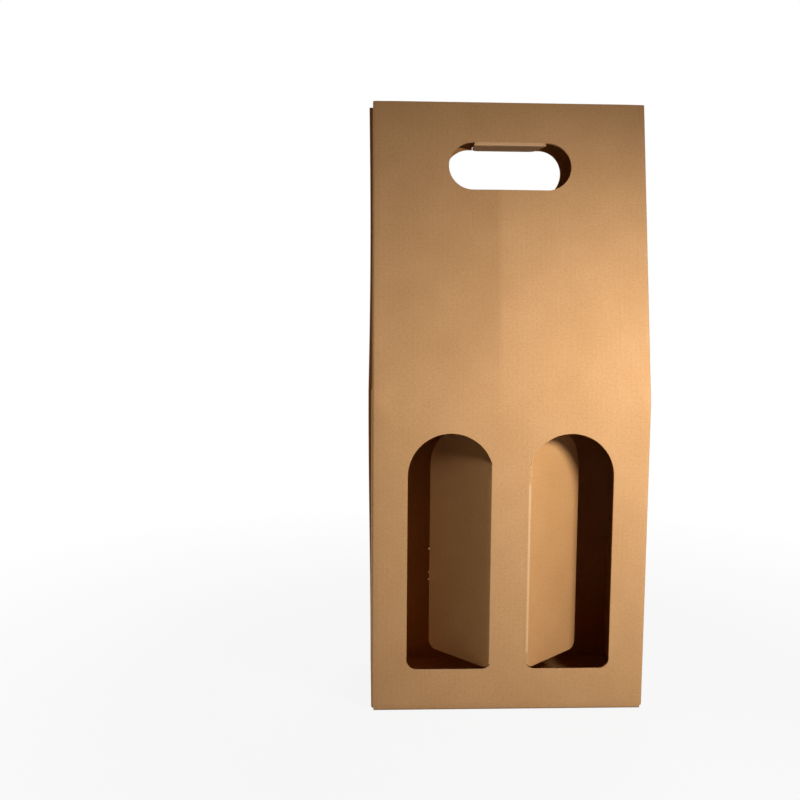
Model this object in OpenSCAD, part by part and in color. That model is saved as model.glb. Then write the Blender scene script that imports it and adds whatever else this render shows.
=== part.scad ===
/* [Box] */
// Outside width of the box
box_w = 180; // [170:1:220]
// Outside depth of the box
box_d = 90; // [80:1:110]
// Height of the upright walls, from the base to the shoulder crease
wall_h = 204; // [194:1:260]
// Length of the sloping panels, from the shoulder crease to their top edge
roof_l = 198; // [180:1:240]
// Gap inside the board between the two sloping panels at the open top
mouth_gap = 17; // [12:1:30]
// Thickness of the corrugated board
board_t = 1.5; // [1.2:0.1:2]

/* [Windows] */
// Width of each arched window
window_w = 55.7; // [44:0.1:60]
// Height of each window, from its sill to the top of its arch
window_h = 156.7; // [130:0.1:160]
// Height of the window sill above the base
sill_h = 27.4; // [16:0.1:30]
// Radius of the two lower corners of a window
sill_r = 6.5; // [3:0.5:10]
// Width of the post between the two windows
post_w = 22.6; // [18:0.2:34]
// Angle by which the left window flap is folded in
left_angle = 47.5; // [5:0.5:95]
// Angle by which the right window flap is folded in
right_angle = 42.5; // [5:0.5:95]

/* [Handle] */
// Length of the hand slots
slot_w = 80.6; // [78:0.2:84]
// Height of the hand slots, measured along the sloping panels
slot_h = 32; // [28:0.5:33]
// Distance from the front panel's top edge down to its hand slot
slot_drop = 27; // [20:0.5:40]
// How much higher the back slot is cut, so that the folded tab passes under its edge
back_slot_rise = 2; // [1.8:0.1:4]
// Width of the slot's tab along its crease
tab_w = 47.6; // [36:0.2:48]
// How much narrower the tab is at its tip
tab_taper = 4; // [0:0.5:8]
// Radius of the tab's two free corners
tab_r = 5; // [2:0.5:10]
// Angle of the folded tab above level
tab_lift = 3.5; // [0:0.5:3.5]

/* [Base] */
// Distance that each base flap's hook reaches over the other flap
hook_l = 16; // [8:1:30]
// Width of each hook
hook_w = 34; // [20:1:34]
// Distance from the middle of the base to a hook's near side
hook_x = 6; // [3:1:8]
// Length over which a hook ramps up onto the other flap
ramp_l = 12; // [8:1:20]
// Distance from a hook to the free edge of the side flap beyond it
side_flap_gap = 8; // [2:1:20]
// Width of a side flap at its free edge
side_flap_w = 40; // [20:1:70]
// Play round the base flaps
base_play = 1; // [0.5:0.1:2]

/* [Glue seam] */
// Width of the glue flaps behind the back panel's left edge
glue_w = 20; // [12:1:30]
// Distance from a crease or edge to the ends of the glue flaps
glue_end = 7; // [4:1:15]
// How far the slanted ends of the glue flaps are set back
glue_slant = 8; // [0:1:15]
// Depth of the open line beside the back panel's raw edge
seam_depth = 1.1; // [0.4:0.1:1.1]

/* [Fit] */
// Width of the cut line round a flap
kerf = 0.4; // [0.2:0.1:1]
// Play between a flap's rolled crease and the edge that it hinges on
crease_gap = 0.2; // [0.1:0.05:0.5]
// Room left inside the sharp folds between the ears and the sloping panels
fold_gap = 0.3; // [0.2:0.1:0.8]

/* [Hidden] */
$fn = 64;

kraft = "#C2935F";
kraft_shade = "#A97B48";

// Cutters pass the faces that they cut by this much
over = 2;

// Outside and inside half sizes: the creases lie on the inside face of the board
half_w = box_w / 2;
half_d = box_d / 2;
in_w = half_w - board_t;
in_d = half_d - board_t;

// The sloping panels lean in by the angle that leaves the gap at the top
lean = asin((in_d - mouth_gap / 2) / roof_l);
roof_rise = roof_l * cos(lean);

// The front half of the cross-section, as Y and Z: the panels end square to their own faces
roof_up = [sin(lean), cos(lean)];
roof_out = [-cos(lean), sin(lean)];
crease_in = [-in_d, wall_h];
crease_out = [-half_d, wall_h + board_t * tan(lean / 2)];
top_in = crease_in + roof_l * roof_up;
top_out = top_in + board_t * roof_out;
top_middle = [0, top_in[1] - mouth_gap / 2 * tan(lean)];
past_top = top_in + over * roof_up;
function behind(point) = [-point[0], point[1]];

// Round folds stop this far from the shoulder, where the creases cross
fold_stop = board_t;
// Round folds bulge this far past the flat faces, and so meet them at an edge
fold_proud = 0.02;

// Each side has three flat facets: a triangle that leans in from the shoulder, and two ears
// that are folded back against the sloping panels. All three meet at the apex, which lies on
// the sheet's top edge, so its distances from the shoulder and from the panels are known
tilt = acos((pow(roof_l, 2) + pow(roof_rise, 2) + pow(mouth_gap / 2, 2) - pow(in_d, 2)) / (2 * roof_l * roof_rise));
apex = [in_w - roof_l * sin(tilt), 0, wall_h + roof_l * cos(tilt)];
shoulder_front = [in_w, -in_d, wall_h];
shoulder_back = [in_w, in_d, wall_h];
// The point where the creases beside the two ears would meet
ridge_end = [in_w, 0, wall_h + in_d / tan(lean)];

// The move of the apex that sets the triangle and the ears out by two distances
ear_cross = cross(apex - shoulder_front, ridge_end - shoulder_front);
ear_normal = ear_cross / norm(ear_cross) * sign(ear_cross[1]);
facet_det = cos(tilt) * ear_normal[2] - sin(tilt) * ear_normal[0];
function facet_shift(triangle, ears) = [
    (triangle * ear_normal[2] - ears * sin(tilt)) / facet_det,
    0,
    (ears * cos(tilt) - triangle * ear_normal[0]) / facet_det
];
inner_apex = apex + facet_shift(0, fold_gap);
outer_apex = apex + facet_shift(board_t, fold_gap + board_t);
// The recess outside the facets is cut this many times as long as the facets
recess_reach = 1.5;

// Windows, and the flaps cut from them: a flap's crease is a rolled edge as thick as the board
window_x = (post_w + window_w) / 2;
crease_r = board_t / 2;
crease_set = crease_r + crease_gap;
// Beyond the ends of its crease a flap is set off, and so clears the wall when it is folded square
flap_set = crease_r + kerf;
flap_w = window_w - crease_set - kerf - flap_set;
flap_h = window_h - 2 * kerf;
flap_r = sill_r - kerf;
spring_h = window_h - window_w / 2;

// Hand slots, measured up the sloping panels from the shoulder crease
slot_top = roof_l - slot_drop;
slot_mid = slot_top - slot_h / 2;
// The tab's crease is set off from the slot's edge, which the tab is folded up past
tab_set = crease_r + kerf;
tab_l = slot_h - tab_set - kerf;
tab_tip_w = tab_w - tab_taper;
tab_s = slot_top - tab_set;
tab_axis = [0, tab_s * sin(lean) - crease_r * cos(lean) - in_d, wall_h + tab_s * cos(lean) + crease_r * sin(lean)];

// A corner to be taken off a fold, with its sharp outer edge at the origin
module fold_corner() {
    fold_middle = board_t - fold_proud;
    difference() {
        translate([-over, -over]) square(fold_middle + over);
        translate([fold_middle, fold_middle]) circle(board_t);
    }
}

// Moves the corner to one of a rectangle's four corners, facing in
module at_corner(x, y) {
    translate([x, y]) mirror([x > 0 ? 1 : 0, 0]) mirror([0, y > 0 ? 1 : 0]) children();
}

// The sheet's window outline: straight sides, a round arch and two round lower corners
module arch_panel(w, h, r) {
    translate([0, h - w / 2]) circle(d = w);
    translate([-w / 2, r]) square([w, h - w / 2 - r]);
    translate([r - w / 2, 0]) square([w - 2 * r, h - w / 2]);
    for (side = [-1, 1]) translate([side * (w / 2 - r), r]) circle(r);
}

// A board's section with its crease edge rolled round the origin
module creased_section(length) {
    translate([0, -crease_r]) square([length, board_t]);
    circle(crease_r);
}

// The front sloping panel's frame: X along the crease, Y into the box, Z up the panel
module on_roof() {
    translate([0, -in_d, wall_h]) rotate([-lean, 0, 0]) children();
}

module to_back() {
    mirror([0, 1, 0]) children();
}

module on_both_sides() {
    children();
    mirror([1, 0, 0]) children();
}

// The whole outside as a solid, from its cross-section
module outside_block() {
    rotate([90, 0, 90]) linear_extrude(box_w, center = true) polygon([
        [-half_d, 0], [half_d, 0], behind(crease_out), behind(top_out), top_middle, top_out, crease_out
    ]);
}

// The round folds at the corners: the glued corner at the back left is a raw edge
module corner_folds() {
    translate([0, 0, -over]) linear_extrude(over + wall_h - fold_stop) {
        at_corner(-half_w, -half_d) fold_corner();
        at_corner(half_w, -half_d) fold_corner();
        at_corner(half_w, half_d) fold_corner();
    }
    on_both_sides() roof_fold();
    to_back() roof_fold();
}

// The round fold at the right edge of the front sloping panel
module roof_fold() {
    on_roof() translate([half_w, -board_t, fold_stop]) linear_extrude(roof_l) mirror([1, 0]) fold_corner();
}

// The space outside the three facets of one side
module gusset_recess(point) {
    polyhedron(
        points = [
            point,
            point + recess_reach * (shoulder_front - apex),
            point + recess_reach * (shoulder_back - apex),
            point + recess_reach * (ridge_end - apex)
        ],
        faces = [[1, 3, 2], [0, 3, 1], [0, 2, 3], [0, 1, 2]]
    );
}

// The space inside the board, open at the base and at the top
module inside_space() {
    difference() {
        rotate([90, 0, 90]) linear_extrude(2 * in_w, center = true) polygon([
            [-in_d, -over], [in_d, -over], behind(crease_in), behind(past_top), past_top, crease_in
        ]);
        on_both_sides() gusset_recess(inner_apex);
    }
}

// Walls, sloping panels and side gussets, folded from the one sheet
module folded_walls() {
    difference() {
        outside_block();
        on_both_sides() gusset_recess(outer_apex);
        inside_space();
        corner_folds();
        // The side walls end one board higher, where their base flaps lie on the front and back ones
        on_both_sides() translate([half_w, 0, 0]) cube([2 * board_t, 2 * box_d, 2 * board_t], center = true);
    }
}

// The front base flap: a level plate, with a hook that ramps up and over the back flap
module base_flap() {
    edge_x = in_w - base_play;
    linear_extrude(board_t) difference() {
        translate([-edge_x, -in_d - crease_r]) square([2 * edge_x, in_d + crease_r - base_play / 2]);
        translate([-hook_x - hook_w - base_play, -ramp_l]) square([hook_w + 2 * base_play, ramp_l]);
    }
    translate([-hook_x - hook_w, 0, 0]) rotate([90, 0, 90]) linear_extrude(hook_w) polygon([
        [-ramp_l - board_t, 0], [-ramp_l, 0], [0, board_t], [hook_l, board_t],
        [hook_l, 2 * board_t], [0, 2 * board_t], [-ramp_l, board_t], [-ramp_l - board_t, board_t]
    ]);
}

// A side flap of the base, glued down on the front and back flaps
module side_base_flap() {
    edge_y = in_d - base_play;
    edge_x = hook_x + hook_w + side_flap_gap;
    translate([0, 0, board_t]) linear_extrude(board_t) polygon([
        [in_w + crease_r, -edge_y], [in_w + crease_r, edge_y],
        [edge_x, side_flap_w / 2], [edge_x, -side_flap_w / 2]
    ]);
}

// A glue flap's outline, from the crease at zero, between two ends
module glue_outline(low, high) {
    polygon([[-crease_r, low], [0, low], [glue_w, low + glue_slant], [glue_w, high - glue_slant], [0, high], [-crease_r, high]]);
}

// The left side's glue flaps, inside the back wall and inside the back sloping panel
module glue_flaps() {
    translate([-in_w, in_d + crease_r, 0]) rotate([90, 0, 0])
        linear_extrude(board_t + crease_r) glue_outline(glue_end, wall_h - glue_end);
    to_back() on_roof() translate([-in_w, board_t, 0]) rotate([90, 0, 0])
        linear_extrude(board_t + crease_r) glue_outline(glue_end, roof_l - glue_end);
}

// The open line where the left side's fold turns in behind the back panel's raw edge
module seam_line() {
    difference() {
        translate([-board_t - over, 0]) square([seam_depth + over, board_t]);
        circle(board_t);
    }
}

module seam_grooves() {
    translate([-in_w, in_d - board_t, board_t]) linear_extrude(wall_h - board_t - fold_stop) seam_line();
    to_back() on_roof() translate([-in_w, board_t, fold_stop])
        linear_extrude(roof_l) mirror([0, 1]) seam_line();
}

// The round folds along the lower edges of the four walls
module base_folds() {
    for (end = [0, 180]) rotate(end) translate([0, -half_d, 0])
        rotate([90, 0, 90]) linear_extrude(2 * box_w, center = true) fold_corner();
    on_both_sides() translate([half_w, 0, board_t])
        rotate([90, 0, 0]) linear_extrude(2 * box_d, center = true) mirror([1, 0]) fold_corner();
}

module window_cuts() {
    for (side = [-1, 1]) translate([side * window_x, over - in_d, sill_h])
        rotate([90, 0, 0]) linear_extrude(board_t + 2 * over) arch_panel(window_w, window_h, sill_r);
}

// A hand slot through the front sloping panel, raised up the panel by a distance
module slot_cut(rise) {
    on_roof() translate([0, over, slot_mid + rise]) rotate([90, 0, 0]) linear_extrude(board_t + 2 * over) {
        square([slot_w - slot_h, slot_h], center = true);
        for (side = [-1, 1]) translate([side * (slot_w - slot_h) / 2, 0]) circle(d = slot_h);
    }
}

// The whole sheet, folded up and glued
module carrier_body() {
    color(kraft) difference() {
        union() {
            folded_walls();
            base_flap();
            rotate(180) base_flap();
            on_both_sides() side_base_flap();
            glue_flaps();
        }
        base_folds();
        seam_grooves();
        window_cuts();
        slot_cut(0);
        to_back() slot_cut(back_slot_rise);
    }
}

// A window flap shut in its window, with its crease on the Z axis and the flap towards +X
module window_flap() {
    intersection() {
        rotate([90, 0, 0]) linear_extrude(2 * board_t, center = true) {
            translate([flap_set + flap_w / 2, kerf]) arch_panel(flap_w, flap_h, flap_r);
            translate([-board_t, sill_r]) square([board_t + flap_set + flap_r, spring_h - sill_r]);
        }
        linear_extrude(window_h) creased_section(window_w);
    }
}

// A window flap in its place on the right of the post, folded in by an angle
module folded_flap(angle) {
    translate([post_w / 2 + crease_set, crease_r - half_d, sill_h]) rotate([0, 0, angle]) window_flap();
}

module left_window_flap() {
    color(kraft_shade) mirror([1, 0, 0]) folded_flap(left_angle);
}

module right_window_flap() {
    color(kraft_shade) folded_flap(right_angle);
}

// The tab's outline, from its crease towards +Y
module tab_outline() {
    polygon([
        [-tab_w / 2, -board_t], [tab_w / 2, -board_t], [tab_w / 2, 0],
        [tab_tip_w / 2, tab_l - tab_r], [-tab_tip_w / 2, tab_l - tab_r], [-tab_w / 2, 0]
    ]);
    translate([tab_r - tab_tip_w / 2, 0]) square([tab_tip_w - 2 * tab_r, tab_l]);
    for (side = [-1, 1]) translate([side * (tab_tip_w / 2 - tab_r), tab_l - tab_r]) circle(tab_r);
}

// The hand slot's tab, folded in until it passes under the back slot's upper edge
module handle_tab() {
    color(kraft_shade) translate(tab_axis) rotate([tab_lift, 0, 0]) intersection() {
        linear_extrude(2 * board_t, center = true) tab_outline();
        rotate([90, 0, 90]) linear_extrude(slot_w, center = true) creased_section(slot_h);
    }
}

carrier_body();
left_window_flap();
right_window_flap();
handle_tab();
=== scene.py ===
"""A kraft board carrier for two bottles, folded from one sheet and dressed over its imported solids."""
import math

import bmesh
import bpy
import numpy as np
from mathutils import Matrix, Vector
from mathutils.geometry import delaunay_2d_cdt


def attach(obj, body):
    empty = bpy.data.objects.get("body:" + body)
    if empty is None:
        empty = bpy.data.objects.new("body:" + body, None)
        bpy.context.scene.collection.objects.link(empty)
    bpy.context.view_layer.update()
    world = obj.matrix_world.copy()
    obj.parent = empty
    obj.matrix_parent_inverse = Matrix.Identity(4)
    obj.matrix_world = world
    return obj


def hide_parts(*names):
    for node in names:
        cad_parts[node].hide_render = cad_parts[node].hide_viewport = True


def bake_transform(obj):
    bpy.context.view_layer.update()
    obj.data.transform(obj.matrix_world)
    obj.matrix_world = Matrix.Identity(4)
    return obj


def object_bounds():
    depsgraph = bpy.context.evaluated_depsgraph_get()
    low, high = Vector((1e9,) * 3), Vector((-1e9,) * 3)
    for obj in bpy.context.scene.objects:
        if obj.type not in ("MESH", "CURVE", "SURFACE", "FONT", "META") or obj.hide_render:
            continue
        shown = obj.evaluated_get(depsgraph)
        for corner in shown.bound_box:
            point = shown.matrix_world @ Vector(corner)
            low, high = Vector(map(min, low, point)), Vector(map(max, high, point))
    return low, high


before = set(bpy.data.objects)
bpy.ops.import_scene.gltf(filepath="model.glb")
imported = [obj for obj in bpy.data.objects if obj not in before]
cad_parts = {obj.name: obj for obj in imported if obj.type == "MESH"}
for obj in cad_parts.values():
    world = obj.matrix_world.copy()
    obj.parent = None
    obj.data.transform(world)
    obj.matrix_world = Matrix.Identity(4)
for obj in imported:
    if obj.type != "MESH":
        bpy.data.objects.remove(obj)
cad_low, cad_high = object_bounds()

MM = 0.001

# The sheet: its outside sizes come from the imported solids, and its creases lie on its inside face
BOARD = 1.5 * MM
HALF_W = (cad_high.x - cad_low.x) / 2
HALF_D = (cad_high.y - cad_low.y) / 2
IN_W = HALF_W - BOARD
IN_D = HALF_D - BOARD
WALL_H = 204 * MM
ROOF_L = 198 * MM
SHEET_H = WALL_H + ROOF_L
MOUTH = 17 * MM
LEAN = math.asin((IN_D - MOUTH / 2) / ROOF_L)
ROOF_RISE = ROOF_L * math.cos(LEAN)
FOLD_GAP = 0.3 * MM

# Windows and their flaps
WINDOW_W = 55.7 * MM
WINDOW_H = 156.7 * MM
SILL_H = 27.4 * MM
SILL_R = 6.5 * MM
SPRING_H = WINDOW_H - WINDOW_W / 2
POST_W = 22.6 * MM
WINDOW_X = (POST_W + WINDOW_W) / 2
LEFT_ANGLE = math.radians(47.5)
RIGHT_ANGLE = math.radians(42.5)
KERF = 0.4 * MM
CREASE_R = BOARD / 2
CREASE_GAP = 0.2 * MM
CREASE_SET = CREASE_R + CREASE_GAP
FLAP_SET = 0.85 * MM

# Torn nicks on the left flap's free edge, measured up from the sill
NICK_RUNS = (49.1 * MM, 54.2 * MM, 70.7 * MM)
NICK_WIDTHS = (0.8 * MM, 0.8 * MM, 1.3 * MM)
NICK_L = 1 * MM
NICK_THICK = 0.15 * MM
NICK_BEND = math.radians(45)

# Hand slots and the tab that lines them, measured up the sheet
SLOT_W = 80.6 * MM
SLOT_H = 32 * MM
SLOT_DROP = 27 * MM
SLOT_TOP = SHEET_H - SLOT_DROP
NOTCH_RISE = 2 * MM
NOTCH_W = 43.8 * MM
TAB_W = 47.6 * MM
TAB_TAPER = 2 * MM
TAB_TIP_W = TAB_W - 2 * TAB_TAPER
TAB_R = 5 * MM
TAB_S = SLOT_TOP - CREASE_R - KERF
TAB_L = SLOT_H - CREASE_R - 2 * KERF
TAB_LIFT = math.radians(3.5)

# The score line of a hinge: a thin skin of liner that bends round the crease
SCORE_PROUD = 0.02 * MM
SCORE_DEEP = 0.3 * MM
SCORE_LAP = 0.9 * MM
TAB_SCORE_LAP = 2.3 * MM
SCORE_OVER = 7.5 * MM
SCORE_UNDER = 3 * MM

# Base flaps, and glue flaps that are pressed a little into the board behind them
BASE_PLAY = 1 * MM
BASE_SEAM = 0.3 * MM
HOOK_L = 16 * MM
HOOK_W = 34 * MM
HOOK_X = 6 * MM
RAMP_L = 12 * MM
SIDE_FLAP_GAP = 8 * MM
SIDE_FLAP_X = HOOK_X + HOOK_W + SIDE_FLAP_GAP
SIDE_FLAP_W = 40 * MM
BASE_LIFT = 0.1 * MM
GLUE_W = 20 * MM
GLUE_END = 7 * MM
GLUE_SLANT = 8 * MM
GLUE_PRESS = 0.05 * MM
TUCK = 0.3 * MM

# How the board has settled: a soft bend across the shoulder, a faint upright buckle above it,
# a shallow dip beside the left fold, and a glued edge that stands a little proud of its fold
BEND_REACH = 22 * MM
BEND_FADE = 14 * MM
BUCKLE_X = -7 * MM
BUCKLE_RISE = 1.3 * MM
BUCKLE_SOFT = 2 * MM
DIP_X = -79 * MM
DIP_DEPTH = 0.4 * MM
GLUE_PROUD = 2.2 * MM
GLUE_DRAW = 0.45

# Where the buckle and dip start, are full, fade and end, as shares of the way up the slope
SETTLE_START, SETTLE_FULL = -0.06, 0.19
SETTLE_FADE, SETTLE_END = 0.6, 0.95

# Mesh steps
NET_STEP = 4 * MM
NET_CLEAR = 0.6 * NET_STEP
ARC_STEP = math.radians(6)
FOLD_STEPS = 5
EAR_COLUMNS = 8
WELD = 0.01 * MM
SAME_POINT = WELD / 100
SHARP_REACH = WELD / 10
SHARP_ANGLE = math.radians(32)
CUT_SOFT = 0.3 * MM
CUT_SEGMENTS = 2

# Flaps take their flat coordinates this far from the panels, so that each has a grain of its own
APART = 1.0

OUTSIDE, INSIDE, EDGE = range(3)
FRONT, BACK = -1, 1
X_AXIS = Vector((1, 0, 0))
Z_AXIS = Vector((0, 0, 1))


def smooth(share):
    """A share from 0 to 1, eased at both ends."""
    share = min(max(share, 0), 1)
    return share * share * (3 - 2 * share)


def spread(low, high, step=NET_STEP):
    """Even places from low to high, about a step apart."""
    count = max(1, round(abs(high - low) / step))
    return [low + (high - low) * i / count for i in range(count)] + [high]


def arc(middle, radius, start, end):
    """Points along an arc between two angles in degrees."""
    start, end = math.radians(start), math.radians(end)
    return [
        (middle[0] + radius * math.cos(a), middle[1] + radius * math.sin(a))
        for a in spread(start, end, ARC_STEP)
    ]


def closed(points, step=NET_STEP):
    """A loop through the points, with its long straights divided."""
    loop = []
    for (ax, ay), (bx, by) in zip(points, points[1:] + points[:1]):
        count = max(1, round(math.dist((ax, ay), (bx, by)) / step))
        loop += [(ax + (bx - ax) * i / count, ay + (by - ay) * i / count) for i in range(count)]
    return [p for p, q in zip(loop, loop[1:] + loop[:1]) if math.dist(p, q) > WELD]


def arch_points(middle, low, width, height, radius):
    """An arched panel's outline: round lower corners, straight sides and a round top."""
    half = width / 2
    return (
        arc((middle - half + radius, low + radius), radius, 180, 270)
        + arc((middle + half - radius, low + radius), radius, 270, 360)
        + arc((middle, low + height - half), half, 0, 180)
    )


def slot_points(notch=()):
    """A hand slot's outline on a panel, with the corners of any notch in its upper edge."""
    level = SLOT_TOP - SLOT_H / 2
    reach = (SLOT_W - SLOT_H) / 2
    right = arc((reach, level), SLOT_H / 2, -90, 90)
    left = arc((-reach, level), SLOT_H / 2, 90, 270)
    return [*right, *notch, *left]


def notch_points():
    """The shallow notch that clears the tab, from right to left."""
    half, top = NOTCH_W / 2, SLOT_TOP + NOTCH_RISE
    return [(half, SLOT_TOP), (half, top), (-half, top), (-half, SLOT_TOP)]


# Flat outlines as triangles

# What the triangulation is asked for: triangles inside the edges that it is given
WITHIN_EDGES = 1


def inside(points, loop):
    """Which of the points lie inside a closed loop."""
    x, y = points[:, :1], points[:, 1:]
    ax, ay = loop.T
    bx, by = np.roll(loop, -1, axis=0).T
    rise = np.where(by == ay, 1, by - ay)
    crossed = ((ay > y) != (by > y)) & (x < (bx - ax) * (y - ay) / rise + ax)
    return crossed.sum(axis=1) % 2 == 1


def off_holes(points, holes):
    """Which of the points lie in none of the holes."""
    wanted = np.ones(len(points), dtype=bool)
    for hole in holes:
        wanted &= ~inside(points, hole)
    return wanted


def net_points(outline, holes):
    """Points of an even net inside an outline, clear of its rim and its holes."""
    rims = np.concatenate([outline, *holes])
    low, high = outline.min(axis=0), outline.max(axis=0)
    net = np.array([(x, y) for x in spread(low[0], high[0]) for y in spread(low[1], high[1])])
    clear = np.linalg.norm(net[:, None] - rims[None], axis=2).min(axis=1) > NET_CLEAR
    return net[clear & inside(net, outline) & off_holes(net, holes)]


def ring_edges(loops):
    """The edges of closed loops whose points follow one another in one list."""
    edges = []
    start = 0
    for loop in loops:
        count = len(loop)
        edges += [(start + i, start + (i + 1) % count) for i in range(count)]
        start += count
    return edges


def triangulate(outline, holes=()):
    """Points and triangles that cover an outline with holes, on an even net."""
    outline = np.array(outline)
    holes = [np.array(hole) for hole in holes]
    loops = [outline, *holes]
    points = [Vector(p) for p in np.concatenate([*loops, net_points(outline, holes)])]
    found = delaunay_2d_cdt(points, ring_edges(loops), [], WITHIN_EDGES, SAME_POINT)
    places = np.array([tuple(p) for p in found[0]])
    triangles = np.array(found[2])
    middles = places[triangles].mean(axis=1)
    return places, triangles[off_holes(middles, holes)]


class Board:
    """A mesh of folded board, with its flat sheet's own coordinates as UVs in metres."""

    def __init__(self):
        self.mesh = bmesh.new()
        self.uv = self.mesh.loops.layers.uv.new("flat")

    def face(self, points, uvs, finish):
        made = self.mesh.faces.new([self.mesh.verts.new(p) for p in points])
        made.material_index = finish
        for loop, uv in zip(made.loops, uvs):
            loop[self.uv].uv = uv

    def strip(self, first, second, first_uv, second_uv, finish):
        """Quads between two rows of points."""
        for i in range(len(first) - 1):
            j = i + 1
            self.face(
                [first[i], first[j], second[j], second[i]],
                [first_uv[i], first_uv[j], second_uv[j], second_uv[i]],
                finish,
            )

    def grid(self, rows, uvs, finish):
        """Quads between many rows of points."""
        for i in range(len(rows) - 1):
            self.strip(rows[i], rows[i + 1], uvs[i], uvs[i + 1], finish)

    def rim(self, inner, outer, finish=EDGE):
        """A cut edge between the two faces of the board."""
        run = [0]
        for a, b in zip(outer, outer[1:]):
            run.append(run[-1] + (b - a).length)
        self.strip(inner, outer, [(u, 0) for u in run], [(u, BOARD) for u in run], finish)

    def panel(self, outline, place, holes=(), cuts=None, shift=(0, 0)):
        """Board over a flat outline, put in its place by a function of the flat coordinates."""
        points, triangles = triangulate(outline, holes)
        inner, outer = zip(*[two_faces(place, p) for p in points])
        uvs = [(x + shift[0], y + shift[1]) for x, y in points]
        for a, b, c in triangles:
            self.face([outer[a], outer[b], outer[c]], [uvs[a], uvs[b], uvs[c]], OUTSIDE)
            self.face([inner[a], inner[c], inner[b]], [uvs[a], uvs[c], uvs[b]], INSIDE)
        if cuts is None:
            cuts = [outline + outline[:1]]
        for line in [*cuts, *[hole + hole[:1] for hole in holes]]:
            self.rim(*zip(*[two_faces(place, p) for p in line]))

    def soften_cuts(self):
        """Marks the lines where a cut edge meets a face of the board, to be rounded."""
        weight = self.mesh.edges.layers.float.new("bevel_weight_edge")
        for line in self.mesh.edges:
            finishes = {face.material_index for face in line.link_faces}
            if EDGE in finishes and len(finishes) > 1:
                line[weight] = 1

    def finish(self, name, finishes):
        """The welded mesh as an object, with its cut edges, where it has any, a little rounded."""
        bmesh.ops.remove_doubles(self.mesh, verts=self.mesh.verts, dist=WELD)
        bmesh.ops.recalc_face_normals(self.mesh, faces=self.mesh.faces)
        self.soften_cuts()
        data = bpy.data.meshes.new(name)
        self.mesh.to_mesh(data)
        self.mesh.free()
        for finish in finishes:
            data.materials.append(finish)
        data.shade_smooth()
        data.set_sharp_from_angle(angle=SHARP_ANGLE)
        made = bpy.data.objects.new(name, data)
        bpy.context.scene.collection.objects.link(made)
        if len(finishes) > EDGE:
            rounding = made.modifiers.new("soft_cuts", "BEVEL")
            rounding.limit_method = "WEIGHT"
            rounding.width = CUT_SOFT
            rounding.segments = CUT_SEGMENTS
            rounding.material = EDGE
        return made


def two_faces(place, flat):
    """The inside and outside points of the board at a flat place."""
    inner, normal = place(*flat)
    return inner, inner + BOARD * normal


# The front and back panels

# Places up the sheet and across it, at which neighbouring panels share their points
LOW_ROWS = spread(2 * BOARD, WALL_H)
HIGH_ROWS = spread(WALL_H, SHEET_H)
ROWS = LOW_ROWS + HIGH_ROWS[1:]
WIDE_ROWS = [BOARD, *ROWS]
ACROSS = spread(-IN_W, IN_W)
QUARTER_TURNS = spread(0, math.pi / 2, math.pi / 2 / FOLD_STEPS)


def settle(x, s):
    """How far the front panel stands out along its faint buckle, and in beside its left fold."""
    side = IN_W + BUCKLE_X if x < BUCKLE_X else IN_W - BUCKLE_X
    away = math.hypot(x - BUCKLE_X, BUCKLE_SOFT) - BUCKLE_SOFT
    out = BUCKLE_RISE * max(0, 1 - away / (side - BUCKLE_SOFT))
    dip = min((x + IN_W) / (DIP_X + IN_W), max(0, (BUCKLE_X - x) / (BUCKLE_X - DIP_X)))
    up = (s - WALL_H) / ROOF_L
    rise = smooth((up - SETTLE_START) / (SETTLE_FULL - SETTLE_START))
    fall = smooth((SETTLE_END - up) / (SETTLE_END - SETTLE_FADE))
    return (out - DIP_DEPTH * dip) * rise * fall


def panel_place(facing):
    """The place of the front or back panel, which bends softly at the shoulder between its folds."""
    def place(x, s):
        reach = max(BEND_REACH * smooth((IN_W - abs(x)) / BEND_FADE), SHARP_REACH)
        slope = LEAN * min(max((s - WALL_H + reach) / (2 * reach), 0), 1)
        radius = 2 * reach / LEAN
        above = max(s - WALL_H - reach, 0)
        setback = radius * (1 - math.cos(slope)) + above * math.sin(LEAN)
        height = min(s, WALL_H - reach) + radius * math.sin(slope) + above * math.cos(LEAN)
        normal = Vector((0, facing * math.cos(slope), math.sin(slope)))
        point = Vector((x, facing * (IN_D - setback), height))
        if facing == FRONT:
            point += normal * settle(x, s)
        return point, normal
    return place


def flat_shift(facing):
    """How far a panel's flat coordinates lie from the front's, so that their grain differs."""
    return 0 if facing == FRONT else 4 * HALF_W


def add_panel(board, facing, holes):
    """One of the two big panels, with its round fold to the base flap and the ends of that fold."""
    place = panel_place(facing)
    outline = (
        [(x, BOARD) for x in ACROSS[:-1]]
        + [(IN_W, s) for s in WIDE_ROWS[:-1]]
        + [(x, SHEET_H) for x in ACROSS[:0:-1]]
        + [(-IN_W, s) for s in WIDE_ROWS[:0:-1]]
    )
    top = [(x, SHEET_H) for x in ACROSS]
    board.panel(outline, place, holes, [top], (flat_shift(facing), 0))
    inner = [place(x, BOARD)[0] for x in ACROSS]
    out = Vector((0, facing, 0)) * BOARD
    rows = fold_under(board, inner, [out] * len(inner))
    for end in (0, -1):
        curl = [row[end] for row in rows]
        foot = [p + Z_AXIS * BOARD for p in curl[:-1]]
        for end_face in (curl, [curl[0], *foot]):
            board.face(end_face, [(p.y, p.z) for p in end_face], EDGE)


def fold_under(board, inner, offsets):
    """The round fold at a wall's foot, from its outside face down and in under its inside face."""
    rows = [
        [p + o * math.cos(a) - Z_AXIS * BOARD * math.sin(a) for p, o in zip(inner, offsets)]
        for a in QUARTER_TURNS
    ]
    rows.append(list(inner))
    uvs = [[(p.x + p.y, BOARD * (1 - i / FOLD_STEPS)) for p in inner] for i in range(len(rows))]
    board.grid(rows, uvs, OUTSIDE)
    return rows


# The sides: upright walls below, and above them a leaning triangle between two folded ears

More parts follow.
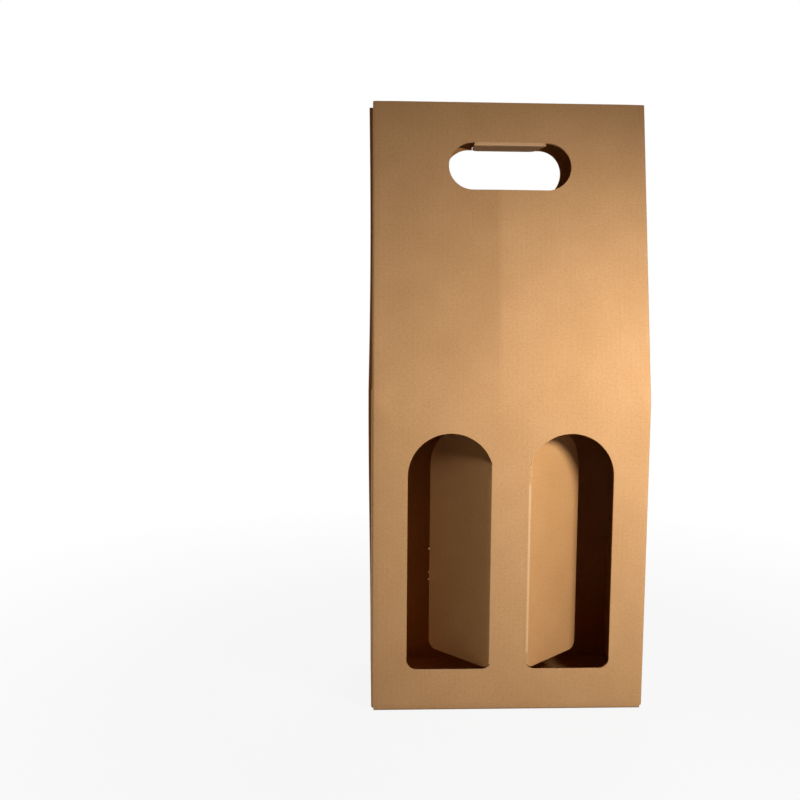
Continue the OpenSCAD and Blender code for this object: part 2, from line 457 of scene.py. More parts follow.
# The triangle tilts in until the top edge of an ear is half as long as the side is wide
TILT = math.acos(
    (ROOF_L**2 + ROOF_RISE**2 + (MOUTH / 2) ** 2 - IN_D**2) / (2 * ROOF_L * ROOF_RISE)
)
ROOF_UP = Vector((0, math.sin(LEAN), math.cos(LEAN)))
ROOF_OUT = Vector((0, -math.cos(LEAN), math.sin(LEAN)))
CORNER = Vector((IN_W, -IN_D, WALL_H))
APEX = Vector((IN_W - ROOF_L * math.sin(TILT), 0, WALL_H + ROOF_L * math.cos(TILT)))
TRIANGLE_OUT = Vector((math.cos(TILT), 0, math.sin(TILT)))
EAR_OUT = (APEX - CORNER).cross(ROOF_UP).normalized()


def mitre(first, second):
    """The move from an inside crease to the crease of the outside faces."""
    return (first + second) * BOARD / (1 + first.dot(second))


EAR_CORNER = CORNER + Vector((0, FOLD_GAP / EAR_OUT.y, 0))
# The apex moves in the triangle's plane, and sets the ears off by the fold's gap
APEX_SLIDE = Vector((-math.sin(TILT), 0, math.cos(TILT)))
EAR_APEX = APEX + APEX_SLIDE * FOLD_GAP / EAR_OUT.dot(APEX_SLIDE)
NOSE_MOVE = mitre(X_AXIS, EAR_OUT)
CREASE_MOVE = mitre(EAR_OUT, TRIANGLE_OUT)
WALL_MOVE = Vector((BOARD, NOSE_MOVE.y, 0))

# The glued corner, in boards out of the panel and out of the side, and whether it stands proud:
# the panel's raw edge, an open line and the side's fold
RAW_STEPS = [
    (1, 0, 0), (1, 1, 1), (0.02, 1, 1), (0, 0.3, 0), (-0.1, 0.58, 0), (-0.32, 0.86, 0), (-0.6, 1, 0),
]
RAW_FINISHES = [OUTSIDE, EDGE, INSIDE, OUTSIDE, OUTSIDE, OUTSIDE]


def mirrored(vector, side, facing):
    """A vector of the front right corner, mirrored to another corner."""
    return Vector((vector.x * side, vector.y * -facing, vector.z))


def crease_at(corner, s):
    """A point on the upright crease that passes through a shoulder corner."""
    if s <= WALL_H:
        return Vector((corner.x, corner.y, s))
    return corner + ROOF_UP * (s - WALL_H)


def nose_move(s):
    """The move to the outside along the fold between a side and its neighbour."""
    if s < WALL_H:
        return WALL_MOVE
    return NOSE_MOVE if s > WALL_H else CREASE_MOVE


def ear_ends(s):
    """The inside ends of an ear at a height, and its outside ends, which stop where the ears meet."""
    share = (s - WALL_H) / ROOF_L
    near = crease_at(EAR_CORNER, s)
    far = EAR_CORNER.lerp(EAR_APEX, share)
    near_out = near + nose_move(s)
    far_out = far + CREASE_MOVE
    if far_out.y > 0:
        far_out = near_out.lerp(far_out, near_out.y / (near_out.y - far_out.y))
    return near, far, near_out, far_out


def glue_proud(s):
    """How far the glued raw edge stands past its fold: most at the shoulder and at the top."""
    if s < WALL_H:
        return GLUE_PROUD * smooth(s / WALL_H)
    return GLUE_PROUD * (1 - GLUE_DRAW * math.sin(math.pi * (s - WALL_H) / ROOF_L))


def fold_lean(s):
    """How far a panel leans in beside its fold: half as far at the shoulder itself as above it."""
    if s == WALL_H:
        return LEAN / 2
    return LEAN if s > WALL_H else 0


def fold_offsets(s, raw):
    """Moves from the corner crease to the outside of the fold, from the panel round to the side."""
    lean = fold_lean(s)
    out = Vector((0, -math.cos(lean), math.sin(lean)))
    if raw:
        proud = X_AXIS * glue_proud(s)
        return [(out * a + X_AXIS * b) * BOARD + proud * stands for a, b, stands in RAW_STEPS]
    return [(out * math.cos(a) + X_AXIS * math.sin(a)) * BOARD for a in QUARTER_TURNS]


def add_corner(board, side, facing):
    """One of the four upright folds, from its foot to the top edge."""
    raw = side < 0 and facing == BACK
    creases = [crease_at(CORNER, s) for s in ROWS]
    inner = [mirrored(p, side, facing) for p in creases]
    outer = [
        [mirrored(p + o, side, facing) for o in fold_offsets(s, raw)] for p, s in zip(creases, ROWS)
    ]
    columns = len(outer[0])
    widths = [IN_W + BOARD * i / columns for i in range(columns)]
    uvs = [[(side * w + flat_shift(facing), s) for w in widths] for s in ROWS]
    for i in range(columns - 1):
        finish = RAW_FINISHES[i] if raw else OUTSIDE
        board.grid([row[i:i + 2] for row in outer], [row[i:i + 2] for row in uvs], finish)
    fold_under(board, [inner[0]] * columns, [p - inner[0] for p in outer[0]])
    board.rim([inner[-1]] * columns, outer[-1])
    add_fold_strip(board, side, facing, inner, [row[-1] for row in outer])


def add_fold_strip(board, side, facing, inner, outer):
    """The narrow strip from an upright fold to the side wall and the ear beside it."""
    strip_inner = [mirrored(crease_at(EAR_CORNER, s), side, facing) for s in ROWS]
    moves = [mirrored(nose_move(s), side, facing) for s in ROWS]
    strip_outer = [p + m for p, m in zip(strip_inner, moves)]
    near_uv = [(side * (HALF_W + BOARD), s) for s in ROWS]
    far_uv = [(side * (HALF_W + 2 * BOARD), s) for s in ROWS]
    board.strip(outer, strip_outer, near_uv, far_uv, OUTSIDE)
    board.strip(inner, strip_inner, near_uv, far_uv, INSIDE)
    board.rim([inner[-1], strip_inner[-1]], [outer[-1], strip_outer[-1]])
    fold_under(board, [inner[0], strip_inner[0]], [outer[0] - inner[0], moves[0]])


def add_ear(board, side, facing):
    """One of the four ears, folded back against a sloping panel."""
    steps = spread(0, 1, 1 / EAR_COLUMNS)
    inner, outer, uvs = [], [], []
    for s in HIGH_ROWS:
        near, far, near_out, far_out = ear_ends(s)
        inner.append([mirrored(near.lerp(far, t), side, facing) for t in steps])
        outer.append([mirrored(near_out.lerp(far_out, t), side, facing) for t in steps])
        uvs.append([(side * (HALF_W + (far - near).length * t), s) for t in steps])
    board.grid(outer, uvs, OUTSIDE)
    board.grid(inner, uvs, INSIDE)
    board.rim(inner[-1], outer[-1])


def add_side(board, side):
    """A side wall and the triangle that leans in above it."""
    steps = spread(0, 1, NET_STEP / (2 * IN_D))
    inner, outer, uvs = [], [], []
    for s in ROWS:
        if s < WALL_H:
            near = crease_at(EAR_CORNER, s)
            near_out = near + WALL_MOVE
        else:
            near, near_out = ear_ends(s)[1::2]
        far, far_out = mirrored(near, 1, BACK), mirrored(near_out, 1, BACK)
        inner.append([mirrored(near.lerp(far, t), side, FRONT) for t in steps])
        outer.append([mirrored(near_out.lerp(far_out, t), side, FRONT) for t in steps])
        uvs.append([(side * (HALF_W + IN_D + near.lerp(far, t).y), s) for t in steps])
    board.grid(outer, uvs, OUTSIDE)
    board.grid(inner, uvs, INSIDE)
    fold_under(board, inner[0], [o - i for i, o in zip(inner[0], outer[0])])


# The flaps that lie inside

def base_flap_points():
    """The front base flap and its hook, as one outline."""
    reach = IN_W - BASE_PLAY
    near, far = -HOOK_X, -HOOK_X - HOOK_W
    seam = -BASE_SEAM / 2
    return [
        (-reach, -IN_D - TUCK), (reach, -IN_D - TUCK), (reach, seam), (near + BASE_SEAM, seam),
        (near + BASE_SEAM, -RAMP_L), (near, -RAMP_L), (near, HOOK_L), (far, HOOK_L),
        (far, -RAMP_L), (far - BASE_SEAM, -RAMP_L), (far - BASE_SEAM, seam), (-reach, seam),
    ]


def base_flap_place(turn):
    """The place of a base flap, whose hook ramps up to lie on the other base flap."""
    def place(x, y):
        on_hook = -HOOK_X - HOOK_W - WELD <= x <= -HOOK_X + WELD
        rise = BOARD * min(1, max(0, y / RAMP_L + 1)) if on_hook else 0
        return Vector((x * turn, y * turn, BOARD + rise)), -Z_AXIS
    return place


def add_base(board):
    """The two hooked base flaps, and the two side flaps that lie on them."""
    for turn in (1, -1):
        outline = closed(base_flap_points())
        board.panel(outline, base_flap_place(turn), shift=(0, -turn * APART))
    start = IN_W + TUCK
    edge_y = IN_D - BASE_PLAY
    half = SIDE_FLAP_W / 2
    points = [(start, -edge_y), (start, edge_y), (SIDE_FLAP_X, half), (SIDE_FLAP_X, -half)]
    for side in (-1, 1):
        def place(x, y):
            return Vector((side * x, y, 2 * BOARD + BASE_LIFT)), -Z_AXIS
        board.panel(closed(points), place, shift=(side * APART, APART))


def glue_points(low, high):
    """A glue flap's outline, between two heights on the sheet."""
    return [
        (-TUCK, low), (GLUE_W, low + GLUE_SLANT), (GLUE_W, high - GLUE_SLANT), (-TUCK, high),
    ]


def add_glue_flaps(board):
    """The left side's flaps, glued inside the back wall and the back sloping panel."""
    lying = panel_place(BACK)

    def place(x, s):
        point, normal = lying(x - IN_W, s)
        return point - (BOARD - GLUE_PRESS) * normal, normal
    for low, high in ((0, WALL_H), (WALL_H, SHEET_H)):
        outline = closed(glue_points(low + GLUE_END, high - GLUE_END))
        board.panel(outline, place, shift=(-APART, 0))


# The hinged flaps

class Hinge:
    """A flap's hinge: a point, the axis, the way the flap points when shut, its outside and its fold."""

    def __init__(self, point, along, shut, out, angle):
        self.point, self.along, self.shut, self.out, self.angle = point, along, shut, out, angle

    def turned(self, angle):
        """The flap's own direction and outside normal when folded in by an angle."""
        return (
            self.shut * math.cos(angle) - self.out * math.sin(angle),
            self.out * math.cos(angle) + self.shut * math.sin(angle),
        )

    def place(self, reach, run):
        """The inside point and outside normal of the folded flap."""
        way, out = self.turned(self.angle)
        return self.point + way * reach + self.along * run - out * CREASE_R, out


def window_hinge(side, angle):
    """The hinge of a window's flap, on the window's inner edge."""
    point = Vector((side * (POST_W / 2 + CREASE_SET), CREASE_R - HALF_D, SILL_H))
    return Hinge(point, Z_AXIS, X_AXIS * side, Vector((0, -1, 0)), angle)


def tab_hinge():
    """The hinge of the tab, on the front slot's upper edge."""
    point = Vector((0, -IN_D, WALL_H)) + ROOF_UP * (TAB_S - WALL_H) + ROOF_OUT * CREASE_R
    return Hinge(point, X_AXIS, -ROOF_UP, ROOF_OUT, math.pi / 2 + LEAN + TAB_LIFT)


def window_flap_points():
    """The window's own cut, less its kerf, which stops just short of the crease."""
    middle = WINDOW_W / 2 - CREASE_SET
    arch_r, corner_r = WINDOW_W / 2 - KERF, SILL_R - KERF
    near, far = SILL_R - CREASE_SET, WINDOW_W - SILL_R - CREASE_SET
    arch_end = math.degrees(math.acos((FLAP_SET - middle) / arch_r))
    corner_end = 360 - math.degrees(math.acos((FLAP_SET - near) / corner_r))
    return [
        (0, SILL_R),
        (FLAP_SET, SILL_R),
        *arc((near, SILL_R), corner_r, corner_end, 270),
        *arc((far, SILL_R), corner_r, 270, 360),
        *arc((middle, SPRING_H), arch_r, 0, arch_end),
        (FLAP_SET, SPRING_H),
        (0, SPRING_H),
    ]


def tab_points():
    """The tab's outline: it narrows a little towards its round corners."""
    half, tip = TAB_W / 2, TAB_TIP_W / 2 - TAB_R
    level = TAB_L - TAB_R
    left = arc((level, -tip), TAB_R, -90, 0)
    right = arc((level, tip), TAB_R, 0, 90)
    return [(0, -half), *left, *right, (0, half)]


def add_rolled_edge(board, hinge, low, high):
    """The flap's crease, rolled round the hinge axis."""
    way, out = hinge.turned(hinge.angle)
    turns = spread(0, math.pi, math.pi / (2 * FOLD_STEPS))
    roll = [(out * math.cos(a) - way * math.sin(a)) * CREASE_R for a in turns]
    runs = spread(low, high)
    rows = [[hinge.point + hinge.along * r + p for p in roll] for r in runs]
    uvs = [[(-CREASE_R * a, r) for a in turns] for r in runs]
    board.grid(rows, uvs, OUTSIDE)
    for end in (0, -1):
        board.face(rows[end], uvs[end], EDGE)


def add_nicks(board, hinge):
    """Torn tags of liner, bent out from the free edge, that held the flap in its window."""
    way, out = hinge.turned(hinge.angle - NICK_BEND)
    reach = WINDOW_W - CREASE_SET - KERF

    def place(length, run):
        edge, face = hinge.place(reach, run)
        return edge + face * BOARD + way * length - out * NICK_THICK, out * NICK_THICK / BOARD
    for run, width in zip(NICK_RUNS, NICK_WIDTHS):
        half = width / 2
        outline = [(-NICK_THICK, run + half), (-NICK_THICK, run - half)]
        outline += arc((NICK_L - half, run), half, -90, 90)
        board.panel(closed(outline, width), place)


def make_flap(name, hinge, outline, low, high, finishes, nicked):
    """A hinged flap: board with cut edges all round, apart from its rolled crease."""
    board = Board()
    loop = closed(outline)
    start = next(i for i, p in enumerate(loop) if math.dist(p, (0, low)) < WELD)
    loop = loop[start:] + loop[:start]
    crease = [p for p in loop if abs(p[0]) < WELD and low - WELD <= p[1] <= high + WELD]
    cut = [p for p in loop if p not in crease]
    board.panel(loop, hinge.place, cuts=[[(0, low), *cut, (0, high)]])
    add_rolled_edge(board, hinge, low, high)
    if nicked:
        add_nicks(board, hinge)
    return board.finish(name, finishes)


def make_score(name, hinge, low, high, lap, finish):
    """The liner stretched round a hinge, from the flap over the board that it is cut from."""
    board = Board()
    way = hinge.turned(hinge.angle)[0]
    turns = spread(0, hinge.angle, ARC_STEP)
    reach = CREASE_SET + lap
    rows = []
    for radius in (CREASE_R + SCORE_PROUD, CREASE_R - SCORE_DEEP):
        bend = [hinge.shut * math.sin(a) * radius + hinge.out * math.cos(a) * radius for a in turns]
        path = [hinge.out * radius - hinge.shut * reach, *bend, bend[-1] + way * SCORE_LAP]
        rows.append([hinge.point + p for p in path])
    outer, inner = rows
    ends = [hinge.along * low, hinge.along * high]
    steps = [0]
    for a, b in zip(outer, outer[1:]):
        steps.append(steps[-1] + (b - a).length)
    for row in (outer, inner):
        lines = [[p + end for p in row] for end in ends]
        board.grid(lines, [[(u, low) for u in steps], [(u, high) for u in steps]], OUTSIDE)
    for end in ends:
        board.rim([p + end for p in inner], [p + end for p in outer], OUTSIDE)
    for i in (0, -1):
        board.rim([inner[i] + end for end in ends], [outer[i] + end for end in ends], OUTSIDE)
    return board.finish(name, [finish])


# Finishes

def linear(red, green, blue):
    """A screen colour, given from 0 to 255, as linear light."""
    shares = [c / 255 for c in (red, green, blue)]
    return [c / 12.92 if c <= 0.04045 else ((c + 0.055) / 1.055) ** 2.4 for c in shares] + [1]


def mm(*lengths):
    """Lengths in millimetres, the unit of the sheet's coordinates in a material."""
    return [length / MM for length in lengths]


class Nodes:
    """Short calls for building the nodes of a material or the world."""

    def __init__(self, owner):
        owner.use_nodes = True
        self.owner = owner
        self.tree = owner.node_tree
        self.shader = self.tree.nodes.get("Principled BSDF")

    def add(self, kind, inputs=(), **settings):
        node = self.tree.nodes.new(kind)
        for key, value in settings.items():
            setattr(node, key, value)
        for key, value in dict(inputs).items():
            self.put(value, node.inputs[key])
        return node

    def put(self, value, socket):
        """Links another node's output to a socket, or sets the socket's own value."""
        if isinstance(value, bpy.types.NodeSocket):
            self.tree.links.new(value, socket)
        else:
            socket.default_value = value

    def math(self, operation, first, second=0.0):
        return self.add("ShaderNodeMath", {0: first, 1: second}, operation=operation).outputs[0]

    def total(self, *parts):
        """The sum of some values, each with its weight."""
        terms = [self.math("MULTIPLY", value, weight) for value, weight in parts]
        found = terms[0]
        for term in terms[1:]:
            found = self.math("ADD", found, term)
        return found

    def flat(self, scale=(1, 1, 1), offset=(0, 0, 0), turn=0):
        """The sheet's own coordinates in millimetres, turned and scaled."""
        found = self.add("ShaderNodeUVMap", uv_map="flat").outputs[0]
        if turn:
            keys = {"Vector": found, "Rotation": (0, 0, turn)}
            found = self.add("ShaderNodeMapping", keys).outputs[0]
        keys = {"Vector": found, "Scale": [s / MM for s in scale], "Location": offset}
        return self.add("ShaderNodeMapping", keys).outputs[0]

    def parts(self, vector):
        """The first two parts of a vector."""
        return self.add("ShaderNodeSeparateXYZ", {0: vector}).outputs[:2]

    def noise(self, scale, detail, offset=(0, 0, 0), turn=0):
        place = self.flat(scale, offset, turn)
        found = self.add("ShaderNodeTexNoise", {"Vector": place, "Scale": 1.0, "Detail": detail})
        return found.outputs["Fac"]

    def ramp(self, value, low, high, first=0.0, second=1.0):
        keys = {"Value": value, "From Min": low, "From Max": high, "To Min": first, "To Max": second}
        return self.add("ShaderNodeMapRange", keys).outputs[0]

    def between(self, value, rise, fall):
        """One between two ramps and zero past them, each ramp given by its zero and its one."""
        return self.math("MULTIPLY", self.ramp(value, *rise), self.ramp(value, *fall))

    def mix(self, share, first, second):
        node = self.add("ShaderNodeMix", data_type="RGBA")
        sockets = {socket.identifier: socket for socket in node.inputs}
        self.put(share, sockets["Factor_Float"])
        self.put(first, sockets["A_Color"])
        self.put(second, sockets["B_Color"])
        return next(socket for socket in node.outputs if socket.identifier == "Result_Color")

    def bump(self, height, strength, depth):
        keys = {"Height": height, "Strength": strength, "Distance": depth}
        self.put(self.add("ShaderNodeBump", keys).outputs[0], self.shader.inputs["Normal"])


# Bare paper hardly shines
DRY = 0.04

# The flutes' pitch in millimetres, and the scale at which the wave texture has that pitch
FLUTE_PITCH = 3.2
RIB_SCALE = math.pi / 10 / FLUTE_PITCH

# Noise in kraft liner: its scale, detail and any offset, and each layer's share of the shade
CLOUD = ((0.035, 0.03, 1), 3.0)
FIBRE = ((0.55, 0.8, 1), 4.0)
GRAIN = ((1.9, 2.3, 1), 2.0, (7, 3, 0))
CLOUD_SHARE, FIBRE_SHARE, GRAIN_SHARE = 0.3, 0.4, 0.3
SHADE_RANGE = (0.25, 0.75)
RIB_SHARE = 0.04

# Strands: stretched noise at three turns, with the noise that shows and the shares that it gives
STRAND_SCALE = (0.35, 2.6, 1)
STRAND_DETAIL = 1.0
STRAND_TURNS = (0.6, -0.5, 1.45)
STRAND_STEP, STRAND_OFFSET = 31, 17
DARK_STRAND = (0.68, 0.76, 0.0, 0.4)
LIGHT_STRAND = (0.32, 0.24, 0.0, 0.35)

# The fibre's range of noise with the roughness that it gives, and the relief of the paper
PAPER_ROUGHNESS = (0.3, 0.7, 0.7, 0.86)
GRAIN_RELIEF, FIBRE_RELIEF, RIB_RELIEF = 0.5, 0.5, 0.35
PAPER_BUMP = (0.35, 0.06 * MM)

# A cut edge: the swing of its fluting in boards, how far from the paper it is hollow, and its fibre
FLUTE_SWING = 0.3
HOLLOW_RANGE = (0.16 * MM, 0.34 * MM)
CUT_FIBRE = ((1.2, 2.4, 1), 3.0)
HOLLOW_SHARES = (0.3, 0.7, 0.45, 0.95)
CUT_ROUGHNESS = 0.9
CUT_BUMP = (0.5, 0.15 * MM)

# The shade beside the buckle: its soft edge about the crest, its fade to the left, and its ends
SHADE_OVER, SHADE_UNDER = 1 * MM, 2 * MM
SHADE_W = 10 * MM
SHADE_BELOW, SHADE_ABOVE = 5 * MM, 30 * MM
SHADE_TOP, SHADE_TOP_FULL = 40 * MM, 70 * MM

# The painted highlight on a crease's bend: its start, how far it goes on round the bend, and its soft
# sides and ends
HIGHLIGHT_START = 0.1 * MM
HIGHLIGHT_OVER = 1 * MM
HIGHLIGHT_SOFT = 0.4 * MM
HIGHLIGHT_END = 3 * MM


def buckle_shade(n):
    """One on the left of the front panel's buckle, which turns from the light, and zero elsewhere."""
    x, s = n.parts(n.flat())
    crest = mm(BUCKLE_X + SHADE_OVER, BUCKLE_X - SHADE_UNDER)
    left = n.between(x, crest, mm(-IN_W, BUCKLE_X - SHADE_W))
    shoulder = mm(WALL_H - SHADE_BELOW, WALL_H + SHADE_ABOVE)
    tall = n.between(s, shoulder, mm(SHEET_H - SHADE_TOP, SHEET_H - SHADE_TOP_FULL))
    return n.math("MULTIPLY", left, tall)


def painted_crease_highlight(low, high, lap):
    """One on the stretched bend of a crease, where a highlight is painted, between two places along it,
    and zero at its far edges.
    """
    first = CREASE_SET + HIGHLIGHT_START
    last = CREASE_SET + lap + HIGHLIGHT_OVER

    def share(n):
        across, along = n.parts(n.flat())
        band = n.between(across, mm(first, first + HIGHLIGHT_SOFT), mm(last, last - HIGHLIGHT_SOFT))
        ends = n.between(along, mm(low, low + HIGHLIGHT_END), mm(high, high - HIGHLIGHT_END))
        return n.math("MULTIPLY", band, ends)
    return share


def kraft(name, dark, light, speck, painted_light=None, painted_light_colour=None, painted_light_share=0):
    """Kraft liner: cloudy fibre, short strands, the faint ribs of the fluting, and at most one patch of
    painted light: the buckle's shade, a crease's highlight.
    """
    n = Nodes(bpy.data.materials.new(name))
    cloud, fibre, grain = [n.noise(*layer) for layer in (CLOUD, FIBRE, GRAIN)]
    wave = {"Vector": n.flat(), "Scale": RIB_SCALE}
    ribs = n.add("ShaderNodeTexWave", wave).outputs["Fac"]
    shade = n.total((cloud, CLOUD_SHARE), (fibre, FIBRE_SHARE), (grain, GRAIN_SHARE))
    shade = n.total((n.ramp(shade, *SHADE_RANGE), 1 - RIB_SHARE), (ribs, RIB_SHARE))
    colour = n.mix(shade, linear(*dark), linear(*light))
    if painted_light:
        colour = n.mix(n.math("MULTIPLY", painted_light(n), painted_light_share), colour, linear(*painted_light_colour))
    for i, turn in enumerate(STRAND_TURNS):
        strand = n.noise(STRAND_SCALE, STRAND_DETAIL, (STRAND_STEP * i, STRAND_OFFSET, 0), turn)
        colour = n.mix(n.ramp(strand, *DARK_STRAND), colour, linear(*speck))
        colour = n.mix(n.ramp(strand, *LIGHT_STRAND), colour, linear(*light))
    n.put(colour, n.shader.inputs["Base Color"])
    n.put(n.ramp(fibre, *PAPER_ROUGHNESS), n.shader.inputs["Roughness"])
    n.shader.inputs["Specular IOR Level"].default_value = DRY
    relief = n.total((grain, GRAIN_RELIEF), (fibre, FIBRE_RELIEF), (ribs, RIB_RELIEF))
    n.bump(relief, *PAPER_BUMP)
    return n.owner


def cut_board(name, light, dark):
    """A cut edge: two liners with the fluting's wave between them, and painted shade in the hollows."""
    n = Nodes(bpy.data.materials.new(name))
    run, depth = n.parts(n.flat())
    board = BOARD / MM
    wave = n.math("SINE", n.math("MULTIPLY", run, 2 * math.pi / FLUTE_PITCH))
    middle = n.math("ADD", n.math("MULTIPLY", wave, FLUTE_SWING * board), board / 2)
    off_wave = n.math("ABSOLUTE", n.math("SUBTRACT", depth, middle))
    off_middle = n.math("ABSOLUTE", n.math("SUBTRACT", depth, board / 2))
    off_face = n.math("SUBTRACT", board / 2, off_middle)
    hollow = n.ramp(n.math("MINIMUM", off_wave, off_face), *mm(*HOLLOW_RANGE))
    fibre = n.noise(*CUT_FIBRE)
    share = n.math("MULTIPLY", hollow, n.ramp(fibre, *HOLLOW_SHARES))
    n.put(n.mix(share, linear(*light), linear(*dark)), n.shader.inputs["Base Color"])
    n.shader.inputs["Roughness"].default_value = CUT_ROUGHNESS
    n.shader.inputs["Specular IOR Level"].default_value = DRY
    n.bump(n.math("SUBTRACT", fibre, share), *CUT_BUMP)
    return n.owner


# Screen colours: each liner's dark, light and speck, the cut edges, and the painted highlight of a
# crease
KRAFT = ((188, 140, 91), (216, 168, 119), (146, 102, 60))
# The window flaps: the outside board painted darker and warmer, a painted shade for their place inside
# the windows
SHADED_FLAP_KRAFT = ((184, 133, 81), (212, 161, 107), (143, 98, 54))
LINING = ((168, 116, 64), (196, 144, 90), (126, 82, 44))
# The cut edge's paper, and the painted shade in the hollows of its flutes
CUT_LIGHT, CUT_HOLLOW_SHADE = (218, 176, 128), (128, 88, 52)
CREASE_HIGHLIGHT = (240, 202, 156)

# How strongly each painted shade and highlight shows, and where the painted highlights run
SHADE_SHARE = 0.16
RIGHT_HIGHLIGHT_SHARE, TAB_HIGHLIGHT_SHARE = 0.55, 0.45
RIGHT_HIGHLIGHT_SPAN = (10 * MM, 125 * MM)
RIGHT_HIGHLIGHT = painted_crease_highlight(*RIGHT_HIGHLIGHT_SPAN, SCORE_LAP)
TAB_HIGHLIGHT = painted_crease_highlight(-TAB_W / 2, TAB_W / 2, TAB_SCORE_LAP)

FACE = kraft("kraft_outside", *KRAFT, buckle_shade, KRAFT[2], SHADE_SHARE)
LINER = kraft("kraft_inside", *LINING)
CUT = cut_board("cut_edge", CUT_LIGHT, CUT_HOLLOW_SHADE)
BOARD_FINISHES = [FACE, LINER, CUT]
# The flaps wear the copy of the outside kraft with painted shade
FLAP_FINISHES = [kraft("kraft_flap_shaded", *SHADED_FLAP_KRAFT), LINER, CUT]
# The right crease and the tab's crease get a painted highlight where they catch the key lamp; the left
# crease, in shade, gets none
LEFT_CREASE = kraft("left_crease", *KRAFT)
RIGHT_CREASE = kraft("right_crease_highlight", *KRAFT, RIGHT_HIGHLIGHT, CREASE_HIGHLIGHT, RIGHT_HIGHLIGHT_SHARE)
TAB_CREASE = kraft("tab_crease_highlight", *KRAFT, TAB_HIGHLIGHT, CREASE_HIGHLIGHT, TAB_HIGHLIGHT_SHARE)


# The pieces

def make_shell():
    """The carrier itself: panels, folds, gussets, base and glue flaps."""
    board = Board()
    windows = [
        closed(arch_points(side * WINDOW_X, SILL_H, WINDOW_W, WINDOW_H, SILL_R)) for side in (-1, 1)
    ]
    add_panel(board, FRONT, [*windows, closed(slot_points())])
    add_panel(board, BACK, [closed(slot_points(notch_points()))])
    for side in (-1, 1):
        for facing in (FRONT, BACK):
            add_corner(board, side, facing)
            add_ear(board, side, facing)
        add_side(board, side)
    add_base(board)
    add_glue_flaps(board)
    return board.finish("carrier_shell", BOARD_FINISHES)


def hang(word, body, node, hinge, outline, fold, score_span, finishes, crease, nicked=False):
    """A hinged flap on its body, and its score line, a strip of liner bent round the hinge from the flap
    over the board.
    """
    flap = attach(make_flap(word + "_board", hinge, outline, *fold, finishes, nicked), body)
    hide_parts(node)
    line = make_score(word + "_score", hinge, *score_span, crease)
    rim = CREASE_R * Vector(hinge.turned(hinge.angle)[1])
    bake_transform(line)


def dress():
    """The shell and its three hinged flaps, each on its body."""
    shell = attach(make_shell(), "carrier")
    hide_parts("carrier_body")
    upright = (SILL_R, SPRING_H)
    span = (SILL_R - SCORE_UNDER, SPRING_H + SCORE_OVER, SCORE_LAP)
    window = (window_flap_points(), upright, span, FLAP_FINISHES)
    left, right = window_hinge(-1, LEFT_ANGLE), window_hinge(1, RIGHT_ANGLE)
    hang("left", "left_flap", "left_window_flap", left, *window, LEFT_CREASE, nicked=True)
    hang("right", "right_flap", "right_window_flap", right, *window, RIGHT_CREASE)
    half = TAB_W / 2
    tab_span = (KERF - half, half - KERF, TAB_SCORE_LAP)
    slot = (tab_points(), (-half, half), tab_span, BOARD_FINISHES)
    hang("tab", "tab", "handle_tab", tab_hinge(), *slot, TAB_CREASE)


# Stage, light and camera

# Light from all round, and the white behind the carrier
AMBIENT = (0.045, 0.027, 0.011, 1)
WHITE = (1, 1, 1, 1)

# The floor glows white from the white's reach on, and a little less within the shadow's reach
FLOOR_SIZE = 6.0
FLOOR_GREY = (135, 135, 135)
FLOOR_ROUGHNESS = 0.9
SHADOW_REACH = 0.2
WHITE_REACH = 0.6
SHADOW_GLOW = 0.9

# Each lamp's name, place, target, watts and width
LAMPS = (
    ("key", (0.16, -0.292, 0.31), (-0.13, -0.045, -0.26), 1.65, 0.11),
    ("rear_fill", (0.5, 1.3, 0.8), (0, 0, 0.2), 17, 0.9),
    ("side_fill", (-1.3, 0.15, 0.5), (0, 0.1, 0.2), 5, 0.5),
)

CAMERA_PLACE = (-93.9 * MM, -606.5 * MM, 259.5 * MM)
CAMERA_YAW = math.radians(2.20)
CAMERA_PITCH = math.radians(5.47)
CAMERA_ROLL = math.radians(0.39)
CAMERA_LENS = 39.87
CAMERA_SENSOR = 36


def seen_share(n):
    """One for rays that should see the plain white background."""
    rays = n.add("ShaderNodeLightPath")
    seen = n.math("MAXIMUM", rays.outputs["Is Camera Ray"], rays.outputs["Is Glossy Ray"])
    return n.math("MAXIMUM", seen, rays.outputs["Is Transmission Ray"])


def floor_finish():
    """Grey that the camera sees as white, but for the carrier's shadow and the dark under it."""
    n = Nodes(bpy.data.materials.new("pale_floor"))
    n.shader.inputs["Base Color"].default_value = linear(*FLOOR_GREY)
    n.shader.inputs["Roughness"].default_value = FLOOR_ROUGHNESS
    place = n.add("ShaderNodeNewGeometry").outputs["Position"]
    away = n.add("ShaderNodeVectorMath", {0: place}, operation="LENGTH").outputs["Value"]
    glow = n.ramp(away, SHADOW_REACH, WHITE_REACH, SHADOW_GLOW, 1.0)
    x, y = n.parts(place)
    past_side = n.math("GREATER_THAN", n.math("ABSOLUTE", x), IN_W)
    past_front = n.math("GREATER_THAN", n.math("ABSOLUTE", y), IN_D)
    uncovered = n.math("MAXIMUM", past_side, past_front)
    share = n.math("MULTIPLY", n.math("MULTIPLY", seen_share(n), uncovered), glow)
    white = n.add("ShaderNodeEmission", {"Strength": 1.0}).outputs[0]
    mixed = n.add("ShaderNodeMixShader", {0: share, 1: n.shader.outputs[0], 2: white})
    n.put(mixed.outputs[0], n.tree.nodes["Material Output"].inputs["Surface"])
    return n.owner


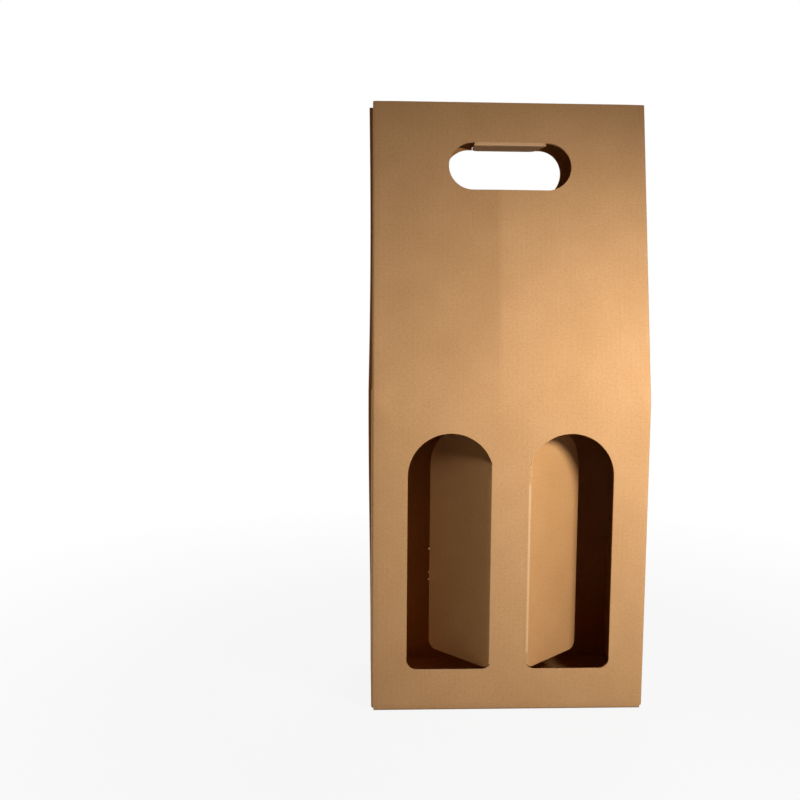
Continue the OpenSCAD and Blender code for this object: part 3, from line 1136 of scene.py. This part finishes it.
def make_floor():
    """A wide floor."""
    mesh = bmesh.new()
    bmesh.ops.create_grid(mesh, x_segments=1, y_segments=1, size=FLOOR_SIZE)
    data = bpy.data.meshes.new("floor")
    mesh.to_mesh(data)
    mesh.free()
    data.materials.append(floor_finish())
    floor = bpy.data.objects.new("floor", data)
    bpy.context.scene.collection.objects.link(floor)


def make_world():
    """Plain white to the camera, and a faint warm light to everything else."""
    n = Nodes(bpy.data.worlds.new("studio"))
    n.put(n.mix(seen_share(n), AMBIENT, WHITE), n.tree.nodes["Background"].inputs["Color"])
    bpy.context.scene.world = n.owner


def make_light(name, place, target, watts, size):
    """A round soft lamp, aimed at a target."""
    data = bpy.data.lights.new(name, "AREA")
    data.energy = watts
    data.shape = "DISK"
    data.size = size
    light = bpy.data.objects.new(name, data)
    light.visible_camera = False
    light.location = place
    light.rotation_mode = "QUATERNION"
    light.rotation_quaternion = (Vector(target) - Vector(place)).to_track_quat("-Z", "Y")
    bpy.context.scene.collection.objects.link(light)


def make_camera():
    """The camera, placed and turned as in the photo."""
    data = bpy.data.cameras.new("camera")
    data.sensor_width = CAMERA_SENSOR
    data.lens = CAMERA_LENS
    camera = bpy.data.objects.new("camera", data)
    ahead = Vector((
        math.sin(CAMERA_YAW) * math.cos(CAMERA_PITCH),
        math.cos(CAMERA_YAW) * math.cos(CAMERA_PITCH),
        -math.sin(CAMERA_PITCH),
    ))
    right = Vector((math.cos(CAMERA_YAW), -math.sin(CAMERA_YAW), 0))
    up = right.cross(ahead)
    level_right = right * math.cos(CAMERA_ROLL) + up * math.sin(CAMERA_ROLL)
    level_up = up * math.cos(CAMERA_ROLL) - right * math.sin(CAMERA_ROLL)
    turn = Matrix((level_right, level_up, -ahead)).transposed()
    camera.matrix_world = Matrix.Translation(CAMERA_PLACE) @ turn.to_4x4()
    bpy.context.scene.collection.objects.link(camera)
    bpy.context.scene.camera = camera


bpy.context.scene.view_settings.view_transform = "Standard"
make_camera()
dress()
make_floor()
make_world()
for lamp in LAMPS:
    make_light(*lamp)
